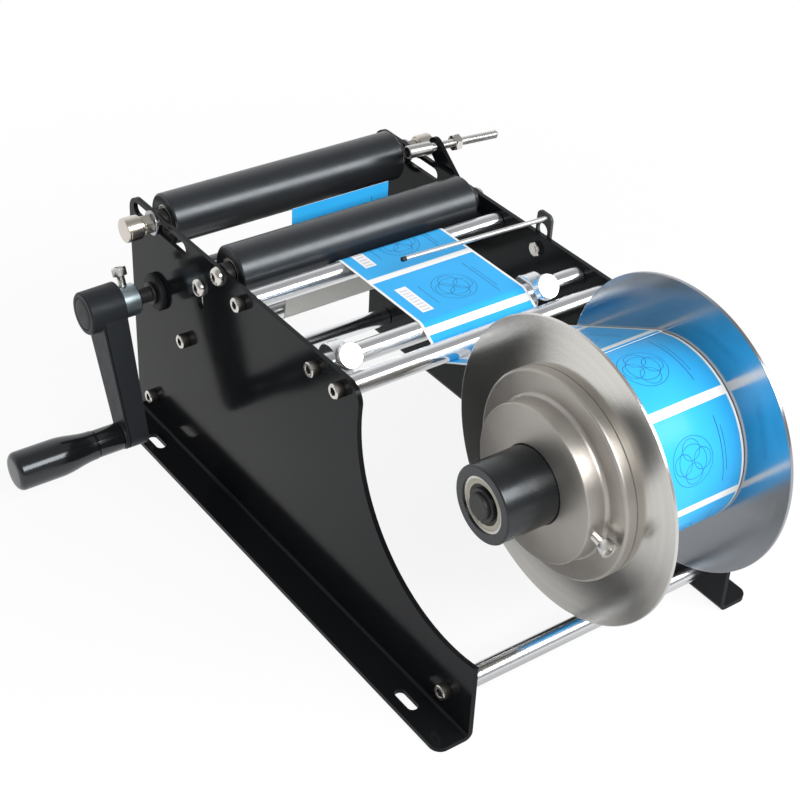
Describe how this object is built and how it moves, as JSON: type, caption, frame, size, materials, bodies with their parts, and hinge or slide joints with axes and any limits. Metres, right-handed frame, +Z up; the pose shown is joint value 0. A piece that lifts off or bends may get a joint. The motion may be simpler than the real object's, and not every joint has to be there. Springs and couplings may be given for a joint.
{
  "type": "hand-cranked bottle labeling machine",
  "caption": "Bench machine with a hand crank, label reel, guide rods and rollers that peels labels off a web and rolls them onto a round bottle.",
  "frame": {"origin": "middle of the overall footprint on the bench surface under the feet", "axes": "+X across the machine from the crank side to the right, +Y from the reel to the rear rollers, +Z up"},
  "size_m": [0.3663, 0.4365, 0.2288],
  "materials": {
    "plate_black": "gloss black powder coat on sheet steel",
    "chrome_rod": "polished hard chrome",
    "stainless": "plain stainless fasteners",
    "nickel": "satin nickel plate",
    "roller_black": "black anodised, satin",
    "bearing_steel": "ground rings with cream shields",
    "axle_steel": "turned",
    "dark_steel": "black oxide",
    "zinc": "bright zinc plate",
    "crank_black": "fine-grained moulding",
    "grip_black": "gloss moulding",
    "bush_black": "moulded bearing bush",
    "disc_steel": "brushed stainless sheet",
    "collar_grey": "blasted casting",
    "label_blue": "printed paper labels on liner",
    "liner_white": "glassine liner",
    "cardboard": "wound cardboard"
  },
  "bodies": {
    "frame": {"left_side_plate": "plate_black", "right_side_plate": "plate_black", "web_rod": "chrome_rod", "liner_rod": "chrome_rod", "guide_rod": "chrome_rod", "rear_tie_rod": "chrome_rod", "entry_rod": "chrome_rod", "front_tie_rod": "chrome_rod", "tie_rod_screws": "stainless", "front_axle": "axle_steel", "front_axle_spacers": "axle_steel", "pan_head_screws": "stainless", "peel_plate": "stainless", "peel_plate_nuts": "stainless", "crank_bushes": "bush_black", "spindle_shaft": "dark_steel", "spindle_nut": "stainless", "spindle_circlip": "dark_steel", "label_web": "label_blue", "return_liner": "liner_white", "leading_label": "label_blue", "stop_bracket": "plate_black", "finger_pivot": "stainless"},
    "front_roller": {"front_roller": "roller_black", "front_roller_bearings": "bearing_steel"},
    "rear_axle": {"rear_axle": "axle_steel", "rear_axle_spacers": "axle_steel", "rear_axle_washers": "nickel", "rear_axle_nuts": "nickel"},
    "rear_roller": {"rear_roller": "roller_black", "rear_roller_bearings": "bearing_steel"},
    "left_knob": {"left_axle_knob": "nickel"},
    "right_knob": {"right_axle_knob": "nickel"},
    "crank": {"crank_shaft": "axle_steel", "shaft_snap_rings": "dark_steel", "takeup_mandrel": "roller_black", "wound_liner": "liner_white", "crank_boss": "zinc", "crank_set_screw": "stainless", "crank_arm": "crank_black", "crank_hub_cap": "crank_black", "grip_pin": "axle_steel"},
    "grip": {"handle_grip": "grip_black"},
    "reel": {"reel_sleeve": "roller_black", "reel_bearings": "bearing_steel", "inner_disc": "disc_steel", "inner_collar": "collar_grey", "inner_clamp_bolt": "stainless", "label_core": "cardboard", "label_roll": "label_blue"},
    "outer_flange": {"outer_disc": "disc_steel", "outer_collar": "collar_grey", "outer_clamp_bolt": "stainless"},
    "left_guide": {"left_guide_collar": "chrome_rod"},
    "left_thumb": {"left_thumb_screw": "chrome_rod"},
    "right_guide": {"right_guide_collar": "chrome_rod"},
    "right_thumb": {"right_thumb_screw": "chrome_rod"},
    "stop": {"stop_bolt": "stainless", "stop_nut": "stainless"},
    "finger": {"finger_lever": "dark_steel"}
  },
  "joints": [
    {"name": "crank_turn", "type": "hinge", "parent": "frame", "child": "crank", "pos_m": [-0.06228, 0.18505, 0.1095], "axis": [1, 0, 0], "continuous": true},
    {"name": "grip_spin", "type": "hinge", "parent": "crank", "child": "grip", "pos_m": [-0.12228, 0.15415, 0.03301], "axis": [1, 0, 0], "continuous": true},
    {"name": "reel_spin", "type": "hinge", "parent": "frame", "child": "reel", "pos_m": [0.03772, -0.13175, 0.1423], "axis": [1, 0, 0], "continuous": true},
    {"name": "outer_flange_slide", "type": "slide", "parent": "reel", "child": "outer_flange", "axis": [1, 0, 0], "range_m": [-0.03, 0]},
    {"name": "front_roller_spin", "type": "hinge", "parent": "frame", "child": "front_roller", "pos_m": [0.03372, 0.10725, 0.1603], "axis": [1, 0, 0], "continuous": true},
    {"name": "rear_axle_slide", "type": "slide", "parent": "frame", "child": "rear_axle", "axis": [0, 1, 0], "range_m": [-0.02, 0.02]},
    {"name": "rear_roller_spin", "type": "hinge", "parent": "rear_axle", "child": "rear_roller", "pos_m": [0.03372, 0.18725, 0.1583], "axis": [1, 0, 0], "continuous": true},
    {"name": "left_knob_turn", "type": "hinge", "parent": "rear_axle", "child": "left_knob", "pos_m": [-0.07628, 0.18725, 0.1583], "axis": [1, 0, 0], "range_deg": [-180, 180]},
    {"name": "right_knob_turn", "type": "hinge", "parent": "rear_axle", "child": "right_knob", "pos_m": [0.14472, 0.18725, 0.1583], "axis": [1, 0, 0], "range_deg": [-180, 180]},
    {"name": "left_guide_slide", "type": "slide", "parent": "frame", "child": "left_guide", "axis": [1, 0, 0], "range_m": [-0.002, 0.047]},
    {"name": "left_thumb_turn", "type": "hinge", "parent": "left_guide", "child": "left_thumb", "pos_m": [-0.04908, 0.00125, 0.156], "axis": [0, -0.788, 0.6157], "range_deg": [-180, 180]},
    {"name": "right_guide_slide", "type": "slide", "parent": "frame", "child": "right_guide", "axis": [1, 0, 0], "range_m": [-0.002, 0.027]},
    {"name": "right_thumb_turn", "type": "hinge", "parent": "right_guide", "child": "right_thumb", "pos_m": [0.09072, 0.00125, 0.156], "axis": [0, -0.788, 0.6157], "range_deg": [-180, 180]},
    {"name": "stop_bolt_slide", "type": "slide", "parent": "frame", "child": "stop", "axis": [0.9976, 0, -0.0698], "range_m": [-0.011, 0.003]},
    {"name": "finger_swing", "type": "hinge", "parent": "frame", "child": "finger", "pos_m": [0.13172, 0.04125, 0.155], "axis": [1, 0, 0], "range_deg": [-60, 48]}
  ],
  "couplings": [
    {"joint": "front_roller_spin", "follows": "crank_turn", "ratio": 0.90361},
    {"joint": "reel_spin", "follows": "crank_turn", "ratio": -0.27778}
  ]
}
